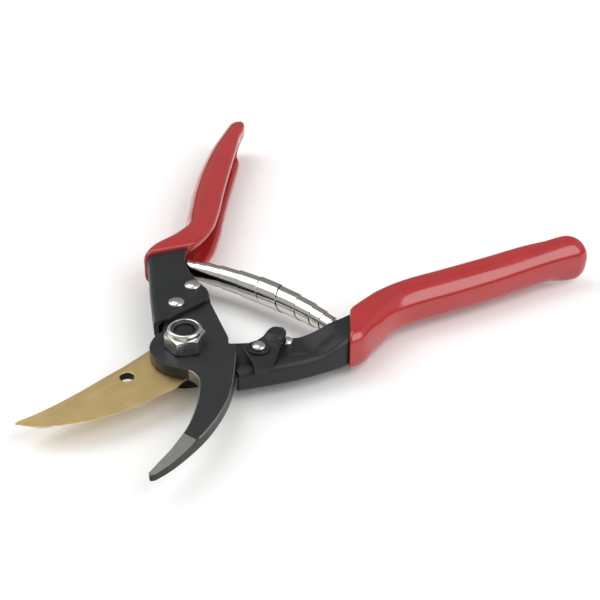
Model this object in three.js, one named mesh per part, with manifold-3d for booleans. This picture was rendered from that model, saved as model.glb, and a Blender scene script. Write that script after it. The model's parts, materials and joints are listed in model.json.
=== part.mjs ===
// Bypass pruning shears with stamped channel handles, dipped vinyl grips and a double volute spring.
// Units are millimetres and +Z is up. The pivot axis is the Z axis, and the origin is the centre of
// the flat underside of the pivot bolt's head. The jaws point along +Y and the handles along -Y.
//
// Each half is drawn in the closed position, in its own plan view, and then turned by HALF_OPENING
// about the pivot. The hook half turns one way and the blade half the other.

import * as THREE from 'three';
import { mergeVertices } from 'three/addons/utils/BufferGeometryUtils.js';
import Module from 'manifold-3d';

const wasm = await Module();
wasm.setup();

// ---------------------------------------------------------------------------------------------
// Driving dimensions
// ---------------------------------------------------------------------------------------------

const HALF_OPENING = 24.5; // degrees that each half stands open from the closed position
const GAP = 0.2; // between flat pieces that lie on each other
const CLEARANCE = 0.3; // round a rivet or the bolt, and round the steel inside a grip

const WRENCH_SIZE = 13; // across the flats of the M8 bolt's head and of its nut
const BOLT_RADIUS = 4;
const BOLT_HEAD_HEIGHT = 4.9;
const WASHER_THICKNESS = 1.3;
const WASHER_RADIUS = 8;
const NUT_HEX_HEIGHT = 5.8;
const NUT_HEIGHT = 7.8;
const NUT_COLLAR_RADIUS = 6.1;
const NUT_TURN = -9; // degrees that the tightened nut is turned from a corner on the Y axis
const HEAD_TURN = -19; // the same for the bolt's head
const NYLON_RADIUS = 5.2;

const BLADE_THICKNESS = 3;
const HOOK_THICKNESS = 4.4;
const BLADE_HOLE_RADIUS = 2.6;
const BEVEL_WIDTH = 5; // of the grinding under the blade
const BLADE_LAND = 0.3; // height left standing along the cutting edge, above the bevel
const HOOK_TIP_THICKNESS = 3; // where the ground facet runs out at the point

const SHEET = 1.8; // steel of the channels
const BEND_RADIUS = 2.4; // outside the bends between web and flanges
const RIB_HEIGHT = 1.9; // of the rib along the back of the blade's channel
const VINYL = 1.4; // coat outside the steel
const VINYL_INSIDE = 0.7; // coat inside the channel
const GRIP_LOW = 2.6; // underside of the grips
const GRIP_HIGH = 17.9; // top of the grips
const GRIP_ROUND = 2.6; // of a grip's long edges along its open side
const GRIP_BACK_ROUND = 5.4; // of the long edges along its back
const GRIP_END_Y = -164;
const STEEL_END_Y = -158;
const HOOK_HANDLE_LEAN = 0.02; // the hook's handle leans out a little further than the blade's

const RIVET_RADIUS = 2;
const RIVET_HEAD_RADIUS = 3.1;
const RIVET_HEAD_HEIGHT = 1.5;
const BLADE_RIVET_HEAD_RADIUS = 2.5;
const LATCH_THICKNESS = 1.5;
const LATCH_WASHER_THICKNESS = 0.6;
const LATCH_WASHER_RADIUS = 4;
const LATCH_RIVET_HEAD_RADIUS = 2.5;

const SPRING_SEAT = [24.2, -56.2]; // on the hook half, and mirrored on the blade half
const SPRING_BOW = 7.4; // the open spring arches towards the ends of the handles
const SPRING_BAND = 9; // width of its strip
const SPRING_STRIP = 0.3; // thickness of its strip
const SPRING_END_RADIUS = 2.2; // to the middle of the strip
const SPRING_STEP = 0.4; // radius gained on each turn
const SPRING_TURNS = 7; // on each side of the widest turn
const PEG_RADIUS = 1.15;
const PEG_LENGTH = 1.5;

const opening = THREE.MathUtils.degToRad(HALF_OPENING);

// Heights of the stack on the pivot, from the bolt's head upwards
const washerZ = BOLT_HEAD_HEIGHT + GAP;
const bladeZ = washerZ + WASHER_THICKNESS + GAP;
const bladeTopZ = bladeZ + BLADE_THICKNESS;
const hookZ = bladeTopZ + GAP;
const hookTopZ = hookZ + HOOK_THICKNESS;
const nutZ = hookTopZ + GAP;
const nutTopZ = nutZ + NUT_HEIGHT;

// Heights of the channels, where they clamp the tangs and inside the grips
const hookChannelZ = [hookZ - GAP - SHEET, hookTopZ + GAP + SHEET];
const bladeChannelZ = [bladeZ - GAP - SHEET, bladeTopZ + GAP + SHEET + RIB_HEIGHT];
const dishZ = bladeTopZ + GAP + SHEET; // the flange round the blade's rivets lies below the rib
const gripSteelZ = [GRIP_LOW + VINYL, GRIP_HIGH - VINYL];
const springZ = (GRIP_LOW + GRIP_HIGH) / 2;

// Heights of the latch, which swings just over the hook
const spacerZ = dishZ + GAP;
const latchZ = hookTopZ + GAP;
const latchWasherZ = latchZ + LATCH_THICKNESS + GAP;
const latchHeadZ = latchWasherZ + LATCH_WASHER_THICKNESS + GAP;

// Places in the closed plan view
const HOOK_RIVETS = [
  [9, -22.4],
  [6, -34.5],
];
const BLADE_RIVET = [-13.1, -33.9];
const LATCH_PIVOT = [-16.8, -20.6];

// ---------------------------------------------------------------------------------------------
// Shapes and solids
// ---------------------------------------------------------------------------------------------

const curveThrough = (points) => new THREE.SplineCurve(points.map((p) => new THREE.Vector2(...p)));

// A closed shape from a start point and stretches of ['line', ...points] or ['curve', ...points].
function outline(start, ...stretches) {
  const shape = new THREE.Shape();
  shape.moveTo(...start);
  for (const [kind, ...points] of stretches) {
    if (kind === 'curve') shape.splineThru(points.map((p) => new THREE.Vector2(...p)));
    else points.forEach((p) => shape.lineTo(...p));
  }
  return shape;
}

function extrude(shape, low, high, curveSegments = 2) {
  const geometry = new THREE.ExtrudeGeometry(shape, { depth: high - low, bevelEnabled: false, curveSegments });
  return geometry.translate(0, 0, low);
}

function lathe(profile, segments = 24) {
  const points = profile.map(([radius, z]) => new THREE.Vector2(radius, z));
  return new THREE.LatheGeometry(points, segments).rotateX(Math.PI / 2);
}

function hexPrism(low, high, turn = 0) {
  const corner = WRENCH_SIZE / Math.sqrt(3);
  const prism = new THREE.CylinderGeometry(corner, corner, high - low, 6).rotateX(Math.PI / 2);
  return prism.rotateZ(THREE.MathUtils.degToRad(turn)).translate(0, 0, (low + high) / 2);
}

function rod([x, y], radius, low, high, segments = 24) {
  const cylinder = new THREE.CylinderGeometry(radius, radius, high - low, segments);
  return cylinder.rotateX(Math.PI / 2).translate(x, y, (low + high) / 2);
}

function solid(geometry) {
  const bare = geometry.clone();
  bare.deleteAttribute('normal');
  bare.deleteAttribute('uv');
  const merged = mergeVertices(bare, 1e-4);
  const vertProperties = merged.getAttribute('position').array;
  const triVerts = new Uint32Array(merged.index.array);
  return new wasm.Manifold(new wasm.Mesh({ numProp: 3, vertProperties, triVerts }));
}

function drilled(body, places, radius) {
  return places.reduce((left, place) => left.subtract(solid(rod(place, radius, -10, 40))), body);
}

function geometryOf(body) {
  const mesh = body.getMesh();
  const geometry = new THREE.BufferGeometry();
  geometry.setAttribute('position', new THREE.BufferAttribute(mesh.vertProperties, 3));
  geometry.setIndex(new THREE.BufferAttribute(mesh.triVerts, 1));
  return geometry;
}

// The same solid on the other side of the centre line.
function mirrored(body) {
  const geometry = geometryOf(body).scale(-1, 1, 1);
  const index = geometry.index.array;
  for (let i = 0; i < index.length; i += 3) index.set([index[i + 1], index[i]], i);
  return solid(geometry);
}

// Closes rings of equally many points into a solid. Without caps the last ring joins the first.
function closeRings(rings, capped) {
  const count = rings[0].length;
  const index = [];
  const last = capped ? rings.length - 1 : rings.length;
  for (let i = 0; i < last; i += 1) {
    for (let j = 0; j < count; j += 1) {
      const a = i * count + j;
      const b = i * count + ((j + 1) % count);
      const c = ((i + 1) % rings.length) * count + j;
      const d = ((i + 1) % rings.length) * count + ((j + 1) % count);
      index.push(a, b, d, a, d, c);
    }
  }
  if (capped) {
    const end = (rings.length - 1) * count;
    for (let j = 1; j < count - 1; j += 1) index.push(0, j + 1, j, end, end + j, end + j + 1);
  }
  const geometry = new THREE.BufferGeometry();
  geometry.setAttribute('position', new THREE.Float32BufferAttribute(rings.flat(2), 3));
  return geometry.setIndex(index);
}

// A solid through rounded rectangles { y, near, far, low, high, round } that stand square to Y. The
// far corners can have a radius of their own, backRound.
function loft(sections, steps = 2) {
  const rings = sections.map(({ y, near, far, low, high, round, backRound = round }) => {
    const corners = [
      [far - backRound, high - backRound, backRound],
      [near + round, high - round, round],
      [near + round, low + round, round],
      [far - backRound, low + backRound, backRound],
    ];
    const ring = [];
    corners.forEach(([x, z, radius], corner) => {
      for (let i = 0; i <= steps; i += 1) {
        const angle = (Math.PI / 2) * (corner + i / steps);
        ring.push([x + radius * Math.cos(angle), y, z + radius * Math.sin(angle)]);
      }
    });
    return ring;
  });
  return closeRings(rings, true);
}

// The x of a smooth line at a given y, for a line whose y falls from point to point.
function along(points) {
  const line = curveThrough(points).getPoints(points.length * 5);
  return (y) => {
    const next = Math.min(Math.max(line.findIndex((p) => p.y <= y), 1), line.length - 1);
    const [from, to] = y < line[line.length - 1].y ? line.slice(-2) : [line[next - 1], line[next]];
    return from.x + ((to.x - from.x) * (y - from.y)) / (to.y - from.y);
  };
}

// ---------------------------------------------------------------------------------------------
// Jaws
// ---------------------------------------------------------------------------------------------

// The counter blade: a hooked jaw, a boss round the pivot, and a tang that its channel clamps.
function hookBlade() {
  const shape = outline(
    [10.5, -7.3],
    ['curve', [12.3, -3.4], [12.7, 1.5], [11.6, 5.4], [8.6, 9.5]],
    ['curve', [5.7, 11.5], [2.3, 12.9], [-1.8, 13.5], [-4.7, 14.1], [-7, 15.4], [-9.1, 17.8], [-10.3, 21.4]],
    ['curve', [-11.7, 29], [-12.1, 37.7], [-11.6, 46], [-9.5, 55.4], [-7, 62.2], [-4.9, 67.8]],
    ['curve', [-5.6, 68.9], [-7.2, 68.3]],
    ['curve', [-10.9, 63.1], [-14.9, 55.2], [-18.6, 45.6], [-21, 35], [-21.9, 24], [-20.9, 13], [-19.2, 3]],
    ['curve', [-18.3, -2.2], [-16.6, -4.2], [-14.6, -4.8]],
    ['line', [-13.8, -8.2], [-2.6, -27.9], [-0.6, -33.5]],
    ['curve', [1.6, -37.4], [5.4, -39.4], [9.5, -38.4], [12.4, -34.6]],
    ['line', [13.2, -24], [11.2, -13.5]],
  );
  const body = drilled(solid(extrude(shape, hookZ, hookTopZ)), [[0, 0]], BOLT_RADIUS + CLEARANCE);
  const slope = Math.atan((HOOK_THICKNESS - HOOK_TIP_THICKNESS) / 18);
  const overFacet = new THREE.BoxGeometry(60, 60, 10).translate(0, 30, 5).rotateX(-slope).rotateZ(-0.47);
  return drilled(body, HOOK_RIVETS, RIVET_RADIUS + CLEARANCE).subtract(solid(overFacet.translate(-14.6, 49.5, hookTopZ)));
}

// The cutting blade: convex edge on the hook's side, a long spine, and a tang with two rivets.
const CUTTING_EDGE = [[-5.7, 67.6], [-9.4, 63.4], [-12.9, 57], [-15.3, 49.5], [-17, 41.5], [-17.3, 33], [-16.8, 25], [-15.6, 17.4]];

function cuttingBlade() {
  const shape = outline(
    [9.9, 9.6],
    ['curve', [5.9, 20.7], [2.9, 31], [-0.1, 41], [-2.6, 51], [-4.2, 60], [-4.9, 66.4]],
    ['line', CUTTING_EDGE[0]],
    ['curve', ...CUTTING_EDGE.slice(1)],
    ['curve', [-14.8, 11.4], [-12.5, 6.6], [-12, 1], [-13.6, -5], [-16.9, -11]],
    ['curve', [-21.4, -19], [-21.9, -29], [-18.6, -36.6], [-13.4, -39.2], [-9.6, -36.4]],
    ['line', [-4.6, -24.2], [-0.9, -17]],
    ['curve', [3.4, -13.4], [8.2, -10], [11.8, -5], [12.8, 0.4], [12, 5.2]],
  );
  const body = drilled(solid(extrude(shape, bladeZ, bladeTopZ)), [[0, 0]], BOLT_RADIUS + CLEARANCE);
  const riveted = drilled(body, [BLADE_RIVET, LATCH_PIVOT], RIVET_RADIUS + CLEARANCE);
  return drilled(riveted, [[-0.7, 23.5]], BLADE_HOLE_RADIUS).subtract(underBevel());
}

// What is ground away below the cutting edge: a wedge that follows the edge and runs out at the boss.
function underBevel() {
  const edge = curveThrough([[-3.4, 69.6], ...CUTTING_EDGE, [-14.6, 12.4], [-14.2, 8]]);
  const count = 22;
  const rings = [];
  for (let i = 0; i <= count; i += 1) {
    const point = edge.getPointAt(i / count);
    const tangent = edge.getTangentAt(i / count);
    const [inX, inY] = [-tangent.y, tangent.x]; // square to the edge, into the blade
    const depth = BEVEL_WIDTH * Math.min(1, 0.1 + i / 8, (count - i) / 4 + 0.02);
    const corners = [
      [-3, bladeZ - 2],
      [depth, bladeZ - 2],
      [depth, bladeZ],
      [0, bladeTopZ - BLADE_LAND],
      [-3, bladeTopZ - BLADE_LAND],
    ];
    rings.push(corners.map(([inward, z]) => [point.x + inX * inward, point.y + inY * inward, z]));
  }
  return solid(closeRings(rings, true));
}

// ---------------------------------------------------------------------------------------------
// Handles: stamped channels that open towards each other, and the vinyl dipped over them.
// Both are drawn on the hook's side, and the blade's is mirrored.
// ---------------------------------------------------------------------------------------------

// From the shoulder to the end: the outside of the steel's web, and the steel's open edge.
const HOOK_LOWER_BACK = [
  [28, -51],
  [27.5, -57],
  [22.2, -67],
  [18.8, -77],
  [19.6, -88],
  [21.3, -104],
  [22.1, -121],
  [21.6, -138],
  [20.2, -150],
  [18.8, -160],
];
const HOOK_LOWER_EDGE = [
  [13.8, -59],
  [10.4, -67],
  [8.8, -76],
  [9, -88],
  [10.4, -104],
  [11.6, -122],
  [12.6, -140],
  [13.8, -156],
];
const BLADE_LOWER_BACK = [
  [28.6, -51],
  [28.3, -57],
  [23.8, -67],
  [19.2, -77],
  [18.2, -87],
  [19.5, -104],
  [20.4, -121],
  [20.5, -138],
  [20.8, -150],
  [21.8, -160],
];
const BLADE_LOWER_EDGE = [
  [15.2, -59],
  [12.2, -67],
  [9.4, -76],
  [8.4, -88],
  [9.6, -104],
  [10.8, -122],
  [11.7, -140],
  [14.2, -156],
];

const hookChannel = {
  back: [[14.3, -9.9], [17.9, -20], [21.9, -32], [25.8, -44.5], ...HOOK_LOWER_BACK],
  edge: [[0.4, -33.4], [3.6, -37.2], [7.5, -41.4], [10.6, -46], [13.2, -51], ...HOOK_LOWER_EDGE],
  lowerEdge: HOOK_LOWER_EDGE,
  end: [[13.4, -9.9], [11.2, -11.2], [8.9, -13.2], [6, -17.8], [1.8, -23], [-1.3, -28.6], [-1.2, -30.4]],
  heights: hookChannelZ,
  lean: HOOK_HANDLE_LEAN,
  nose: 0.3,
};
const bladeChannel = {
  back: [[22.8, -7.9], [25.2, -17], [27.7, -27.5], [29, -38], [29.2, -45], ...BLADE_LOWER_BACK],
  edge: [[8.4, -31.9], [10.9, -35.6], [13.6, -41.6], [15.9, -49], ...BLADE_LOWER_EDGE],
  lowerEdge: BLADE_LOWER_EDGE,
  end: [[22.5, -9.4], [10.8, -16.6], [10.2, -17.6], [6.8, -26], [6.2, -28.9]],
  heights: bladeChannelZ,
  lean: 0,
  nose: 1.2,
};

// Where the handles' sections stand. They are closest together on the curved shoulder.
const STATIONS = [0, 20, 34, 38, 41, 44, 47, 50, 53, 57, 62, 67, 72, 78, 86, 95, 108, 124, 140, 152, 164, 172].map((y) => -y);

// How far a handle has widened, from 0 at the tang to 1 inside the grip.
const widened = (y) => THREE.MathUtils.smoothstep(-y, 38, 52);

// A line of the lower handle, leaned outwards from the shoulder down.
const leaned = (points, lean) => points.map(([x, y]) => [x + lean * Math.max(0, -57 - y), y]);

// A channel's outside for grow = 0, and its hollow for grow = -SHEET, as a solid block.
function channelBlock({ back, heights, lean }, grow) {
  const backAt = along(leaned(back, lean));
  const sections = STATIONS.map((y) => {
    const [low, high] = heights.map((z, i) => THREE.MathUtils.lerp(z, gripSteelZ[i], widened(y)));
    const round = BEND_RADIUS + grow;
    return { y, near: -30, far: backAt(y) + grow, low: low - grow, high: high + grow, round };
  });
  return solid(loft(sections));
}

// The plan of the flanges, grown by a margin and running far past the web.
function flangePlan({ edge, end, lean }, grow) {
  const grown = (points) => points.map(([x, y]) => [x - grow, y + grow]);
  const [first, ...rest] = grown(end);
  return outline(
    [60, first[1]],
    ['line', first, ...rest],
    ['curve', ...leaned(edge, lean).map(([x, y]) => [x - grow, y])],
    ['line', [14 + 100 * lean - grow, STEEL_END_Y - grow], [60, STEEL_END_Y - grow]],
  );
}

function channelSteel(channel, grow, trimOutside = (body) => body, trimInside = (body) => body) {
  const outside = trimOutside(channelBlock(channel, grow));
  const inside = trimInside(channelBlock(channel, -SHEET - grow));
  return outside.subtract(inside).intersect(solid(extrude(flangePlan(channel, grow), -5, 30)));
}

// What lies over the dished part of the blade channel's top flange. It fades out at the shoulder.
function overDish(drop, shift) {
  const edgeAt = along([[18.6, 0], [19.4, -12], [21.2, -22], [23, -33], [23.6, -41], [22.6, -52]]);
  const sections = STATIONS.filter((y) => y >= -50).map((y) => {
    const top = THREE.MathUtils.lerp(bladeChannelZ[1], gripSteelZ[1], widened(y));
    const low = top - RIB_HEIGHT * (1 - widened(y)) - drop;
    return { y, near: -40, far: edgeAt(y) + shift, low, high: 40, round: 0.5 };
  });
  return solid(loft(sections, 1));
}

function hookHandleChannel() {
  return drilled(channelSteel(hookChannel, 0), HOOK_RIVETS, RIVET_RADIUS + CLEARANCE);
}

function bladeHandleChannel() {
  const overFlange = (body) => body.subtract(overDish(0, 0));
  const underFlange = (body) => body.subtract(overDish(SHEET, 1.2));
  const body = mirrored(channelSteel(bladeChannel, 0, overFlange, underFlange));
  return drilled(body, [BLADE_RIVET, LATCH_PIVOT], RIVET_RADIUS + CLEARANCE);
}

// The dipped grip: a coat over the outside and the inside of the channel, closed at the end.
function vinylGrip(channel, peg) {
  const backAt = along(leaned(channel.back, channel.lean));
  const edgeAt = along(leaned(channel.lowerEdge, channel.lean));
  const outer = STATIONS.filter((y) => y < -44 && y > -155).map((y) => {
    const far = backAt(y) + VINYL;
    const [low, high, round, backRound] = [GRIP_LOW, GRIP_HIGH, GRIP_ROUND, GRIP_BACK_ROUND];
    return { y, near: edgeAt(y) - VINYL, far, low, high, round, backRound };
  });
  const last = outer[outer.length - 1];
  const startY = -157;
  for (let turn = 0; turn <= 5; turn += 1) {
    const angle = Math.min((Math.PI / 2) * (turn / 5), 1.45);
    const y = startY + ((GRIP_END_Y - startY) * Math.sin(angle)) / Math.sin(1.45);
    const middle = (last.near + last.far) / 2 + channel.nose;
    const half = ((last.far - last.near) / 2) * Math.cos(angle) ** 0.6;
    const height = ((GRIP_HIGH - GRIP_LOW) / 2) * Math.cos(angle) ** 0.35;
    const round = Math.min(GRIP_ROUND, half * 0.9);
    const backRound = Math.min(GRIP_BACK_ROUND, half * 0.9, height * 0.9);
    const [near, far, low, high] = [middle - half, middle + half, springZ - height, springZ + height];
    outer.push({ y, near, far, low, high, round, backRound });
  }
  const coat = SHEET + VINYL_INSIDE;
  const [low, high] = [gripSteelZ[0] + coat, gripSteelZ[1] - coat];
  const inner = STATIONS.filter((y) => y < -40 && y > -155).map((y) => {
    return { y, near: -20, far: backAt(y) - coat, low, high, round: 0.6 };
  });
  const abovePlan = outline([-20, 0], ['line', [-20, -66], [13, -59.6], [24, -53], [60, -41], [60, 0]]);
  return solid(loft(outer))
    .subtract(solid(loft(inner)))
    .subtract(channelSteel(channel, CLEARANCE))
    .subtract(solid(extrude(abovePlan, -5, 30)))
    .subtract(peg);
}

// ---------------------------------------------------------------------------------------------
// Fasteners
// ---------------------------------------------------------------------------------------------

function pivotBolt() {
  const shank = lathe([[0, 1], [BOLT_RADIUS, 1], [BOLT_RADIUS, nutTopZ - 2.2], [3.2, nutTopZ - 1.2], [0, nutTopZ - 1.2]]);
  const chamfer = lathe([[0, 0], [6.6, 0], [7.6, 0.7], [7.6, BOLT_HEAD_HEIGHT], [0, BOLT_HEAD_HEIGHT]], 36);
  return solid(hexPrism(0, BOLT_HEAD_HEIGHT, HEAD_TURN)).intersect(solid(chamfer)).add(solid(shank));
}

function boltWasher() {
  return drilled(solid(rod([0, 0], WASHER_RADIUS, washerZ, washerZ + WASHER_THICKNESS, 36)), [[0, 0]], BOLT_RADIUS + CLEARANCE);
}

function lockNut() {
  const hexTopZ = nutZ + NUT_HEX_HEIGHT;
  const chamfer = lathe([[0, nutZ], [6.9, nutZ], [7.6, nutZ + 0.6], [7.6, hexTopZ - 0.7], [6.4, hexTopZ], [0, hexTopZ]], 36);
  const collar = lathe([
    [0, hexTopZ - 0.5],
    [NUT_COLLAR_RADIUS, hexTopZ - 0.5],
    [NUT_COLLAR_RADIUS, nutTopZ - 0.7],
    [NUT_COLLAR_RADIUS - 0.7, nutTopZ],
    [0, nutTopZ],
  ]);
  const body = solid(hexPrism(nutZ, hexTopZ, NUT_TURN)).intersect(solid(chamfer)).add(solid(collar));
  const recess = rod([0, 0], NYLON_RADIUS + CLEARANCE / 2, hexTopZ + 0.2, nutTopZ + 1);
  return drilled(body, [[0, 0]], BOLT_RADIUS + CLEARANCE).subtract(solid(recess));
}

function nylonRing() {
  const low = nutZ + NUT_HEX_HEIGHT + 0.2 + GAP;
  const inner = BOLT_RADIUS + CLEARANCE;
  return closedLathe([[inner, low], [NYLON_RADIUS, low], [NYLON_RADIUS, nutTopZ - 0.3], [inner, nutTopZ - 0.3]]);
}

function closedLathe(profile) {
  return solid(lathe([...profile, profile[0]]));
}

// A rivet with a low dome on each side.
function rivet([x, y], low, high, headRadius, headHeight) {
  const dome = (z, way) => [
    [headRadius, z + way * 0.3],
    [headRadius * 0.75, z + way * headHeight * 0.75],
    [0, z + way * headHeight],
  ];
  const below = dome(low, -1).reverse();
  const above = dome(high, 1);
  const shank = [[headRadius, low], [RIVET_RADIUS, low], [RIVET_RADIUS, high], [headRadius, high]];
  return solid(lathe([...below, ...shank, ...above], 18).translate(x, y, 0));
}

// ---------------------------------------------------------------------------------------------
// Latch
// ---------------------------------------------------------------------------------------------

function latchLever() {
  const shape = outline(
    [-14.2, -15.7],
    ['curve', [-12, -17], [-10.9, -19.8], [-10.3, -23], [-8.6, -27.2], [-7.6, -30.2], [-7.9, -33], [-9.8, -34.5]],
    ['curve', [-12.6, -34.1], [-15, -32.3], [-17.2, -29.4], [-20.4, -26.9], [-23.4, -24.3], [-26.2, -21.6]],
    ['line', [-29.2, -17.6], [-28.4, -15.4], [-27.6, -12.9]],
    ['curve', [-25, -14.1], [-21.5, -15], [-17.5, -15.4]],
  );
  const pad = lathe([[0, -1], [4.4, -1], [4.4, 0.4], [3.6, 1.3], [2, 1.8], [0, 2]]).translate(-12.2, -29.6, latchZ + LATCH_THICKNESS - 0.4);
  const body = solid(extrude(shape, latchZ, latchZ + LATCH_THICKNESS)).add(solid(pad).intersect(solid(extrude(shape, latchZ, 30))));
  return drilled(body, [LATCH_PIVOT], RIVET_RADIUS + CLEARANCE);
}

function ringAt([x, y], radius, low, high) {
  const inner = RIVET_RADIUS + CLEARANCE;
  const profile = [[inner, low], [radius, low], [radius, high], [inner, high], [inner, low]];
  return solid(lathe(profile).translate(x, y, 0));
}

// ---------------------------------------------------------------------------------------------
// Spring and its pegs
// ---------------------------------------------------------------------------------------------

// The arc that the open spring lies along, from its seat on the hook half, which is the origin, to
// its seat on the blade half at -X. Gives the point at a distance from the start and the way out.
function springArc(chord) {
  const endAngle = 2 * Math.atan((2 * SPRING_BOW) / chord);
  const radius = chord / (2 * Math.sin(endAngle));
  const at = (distance) => {
    const angle = endAngle - distance / radius;
    const out = new THREE.Vector3(Math.sin(angle), -Math.cos(angle), 0);
    const point = out.clone().multiplyScalar(radius).add(new THREE.Vector3(-chord / 2, radius * Math.cos(endAngle), 0));
    return { point, out };
  };
  return { at, length: 2 * radius * endAngle, endAngle };
}

// A strip wound from one small end out to the middle and back in, each turn lapping the next.
// The two widest turns only meet, so they stand further apart.
function voluteSpring(chord) {
  const steps = 12; // on each turn
  const turns = SPRING_TURNS * 2;
  const arc = springArc(chord);
  const middlePitch = SPRING_BAND + 0.3;
  const endPitch = (arc.length - SPRING_BAND - 4 * middlePitch) / (turns - 4);
  const half = SPRING_STRIP / 2;
  const rings = [];
  let start = 0;
  for (let i = 0; i <= turns * steps; i += 1) {
    const angle = (2 * Math.PI * i) / steps;
    const fromMiddle = Math.abs(i / steps - SPRING_TURNS);
    const radius = SPRING_END_RADIUS + SPRING_STEP * (SPRING_TURNS - fromMiddle);
    const corners = [
      [start + SPRING_BAND, radius - half],
      [start + SPRING_BAND, radius + half],
      [start, radius + half],
      [start, radius - half],
    ];
    rings.push(corners.map(([distance, r]) => {
      const { point, out } = arc.at(distance);
      return [point.x + out.x * r * Math.cos(angle), point.y + out.y * r * Math.cos(angle), r * Math.sin(angle)];
    }));
    const share = THREE.MathUtils.clamp((fromMiddle - 1) / 2, 0, 1);
    start += THREE.MathUtils.lerp(middlePitch, endPitch, share) / steps;
  }
  return closeRings(rings, true);
}

// A peg on the inside of a web, in line with the end of the open spring.
function springPeg(radius, from, to) {
  const seat = new THREE.Vector3(...SPRING_SEAT, springZ);
  const chord = 2 * Math.sin(Math.atan2(seat.x, -seat.y) + opening) * Math.hypot(seat.x, seat.y);
  const angle = Math.PI + springArc(chord).endAngle - opening;
  const peg = new THREE.CylinderGeometry(radius, radius, to - from, 16).translate(0, (from + to) / 2, 0);
  return solid(peg.rotateZ(angle - Math.PI / 2).translate(seat.x, seat.y, seat.z));
}

// ---------------------------------------------------------------------------------------------
// Assembly
// ---------------------------------------------------------------------------------------------

const shears = new THREE.Group();
const hookHalf = new THREE.Group();
const bladeHalf = new THREE.Group();
hookHalf.rotation.z = opening;
bladeHalf.rotation.z = -opening;
shears.add(hookHalf, bladeHalf);

const finish = (color, roughness, metalness) => new THREE.MeshStandardMaterial({ color, roughness, metalness });

function add(parent, name, body, material) {
  const mesh = new THREE.Mesh(body.isBufferGeometry ? body : geometryOf(body), material);
  mesh.name = name;
  parent.add(mesh);
  return mesh;
}

const blackPaint = () => finish('#26292b', 0.45, 0.2);
const zincPlate = () => finish('#d5d6d2', 0.28, 1);
const redVinyl = () => finish('#b02a2c', 0.3, 0);
const peg = springPeg(PEG_RADIUS, -1.2, PEG_LENGTH);
const pegHole = springPeg(PEG_RADIUS + CLEARANCE, -2, PEG_LENGTH + 1);
const hookRivet = (place) => rivet(place, hookChannelZ[0] - 0.1, hookChannelZ[1] + 0.1, RIVET_HEAD_RADIUS, RIVET_HEAD_HEIGHT);

add(hookHalf, 'hook_blade', hookBlade(), finish('#2b2d2e', 0.45, 0.3));
add(hookHalf, 'hook_handle_channel', hookHandleChannel(), blackPaint());
add(hookHalf, 'hook_handle_grip', vinylGrip(hookChannel, pegHole), redVinyl());
add(hookHalf, 'hook_rivet_front', hookRivet(HOOK_RIVETS[0]), zincPlate());
add(hookHalf, 'hook_rivet_rear', hookRivet(HOOK_RIVETS[1]), zincPlate());
add(hookHalf, 'hook_spring_peg', peg, zincPlate());
add(hookHalf, 'pivot_bolt', pivotBolt(), finish('#1d1a1a', 0.4, 0.6));
add(hookHalf, 'bolt_washer', boltWasher(), finish('#1d1a1a', 0.4, 0.6));
add(hookHalf, 'lock_nut', lockNut(), zincPlate());
add(hookHalf, 'nut_nylon_ring', nylonRing(), finish('#4a4e50', 0.5, 0));

add(bladeHalf, 'cutting_blade', cuttingBlade(), finish('#c4a15a', 0.32, 1));
add(bladeHalf, 'blade_handle_channel', bladeHandleChannel(), blackPaint());
add(bladeHalf, 'blade_handle_grip', mirrored(vinylGrip(bladeChannel, pegHole)), redVinyl());
add(bladeHalf, 'blade_spring_peg', mirrored(peg), zincPlate());
const bladeRivet = rivet(BLADE_RIVET, bladeChannelZ[0] - 0.1, dishZ + 0.1, BLADE_RIVET_HEAD_RADIUS, 1.8);
add(bladeHalf, 'blade_rivet', bladeRivet, zincPlate());
const latchRivet = rivet(LATCH_PIVOT, bladeChannelZ[0] - 0.1, latchHeadZ, LATCH_RIVET_HEAD_RADIUS, 1.3);
add(bladeHalf, 'latch_rivet', latchRivet, zincPlate());
add(bladeHalf, 'latch_spacer', ringAt(LATCH_PIVOT, 3.6, spacerZ, latchZ - GAP), blackPaint());
add(bladeHalf, 'latch_lever', latchLever(), blackPaint());
const latchWasher = ringAt(LATCH_PIVOT, LATCH_WASHER_RADIUS, latchWasherZ, latchWasherZ + LATCH_WASHER_THICKNESS);
add(bladeHalf, 'latch_washer', latchWasher, blackPaint());

// The spring stands between the two seats, square to the centre line in the open position.
const [seatX, seatY] = SPRING_SEAT;
const seat = new THREE.Vector3(seatX, seatY, springZ).applyAxisAngle(new THREE.Vector3(0, 0, 1), hookHalf.rotation.z);
add(shears, 'volute_spring', voluteSpring(2 * seat.x), finish('#dcdad6', 0.15, 1)).position.copy(seat);

export default shears;
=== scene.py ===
"""Bypass pruning shears: stamped channel handles with dipped grips, a hooked counter blade, a coated
cutting blade, a pivot bolt with a lock nut, a thumb latch and a double volute spring."""

import json
import math

import bmesh
import bpy
from mathutils import Matrix, Vector
from mathutils.geometry import tessellate_polygon


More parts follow.
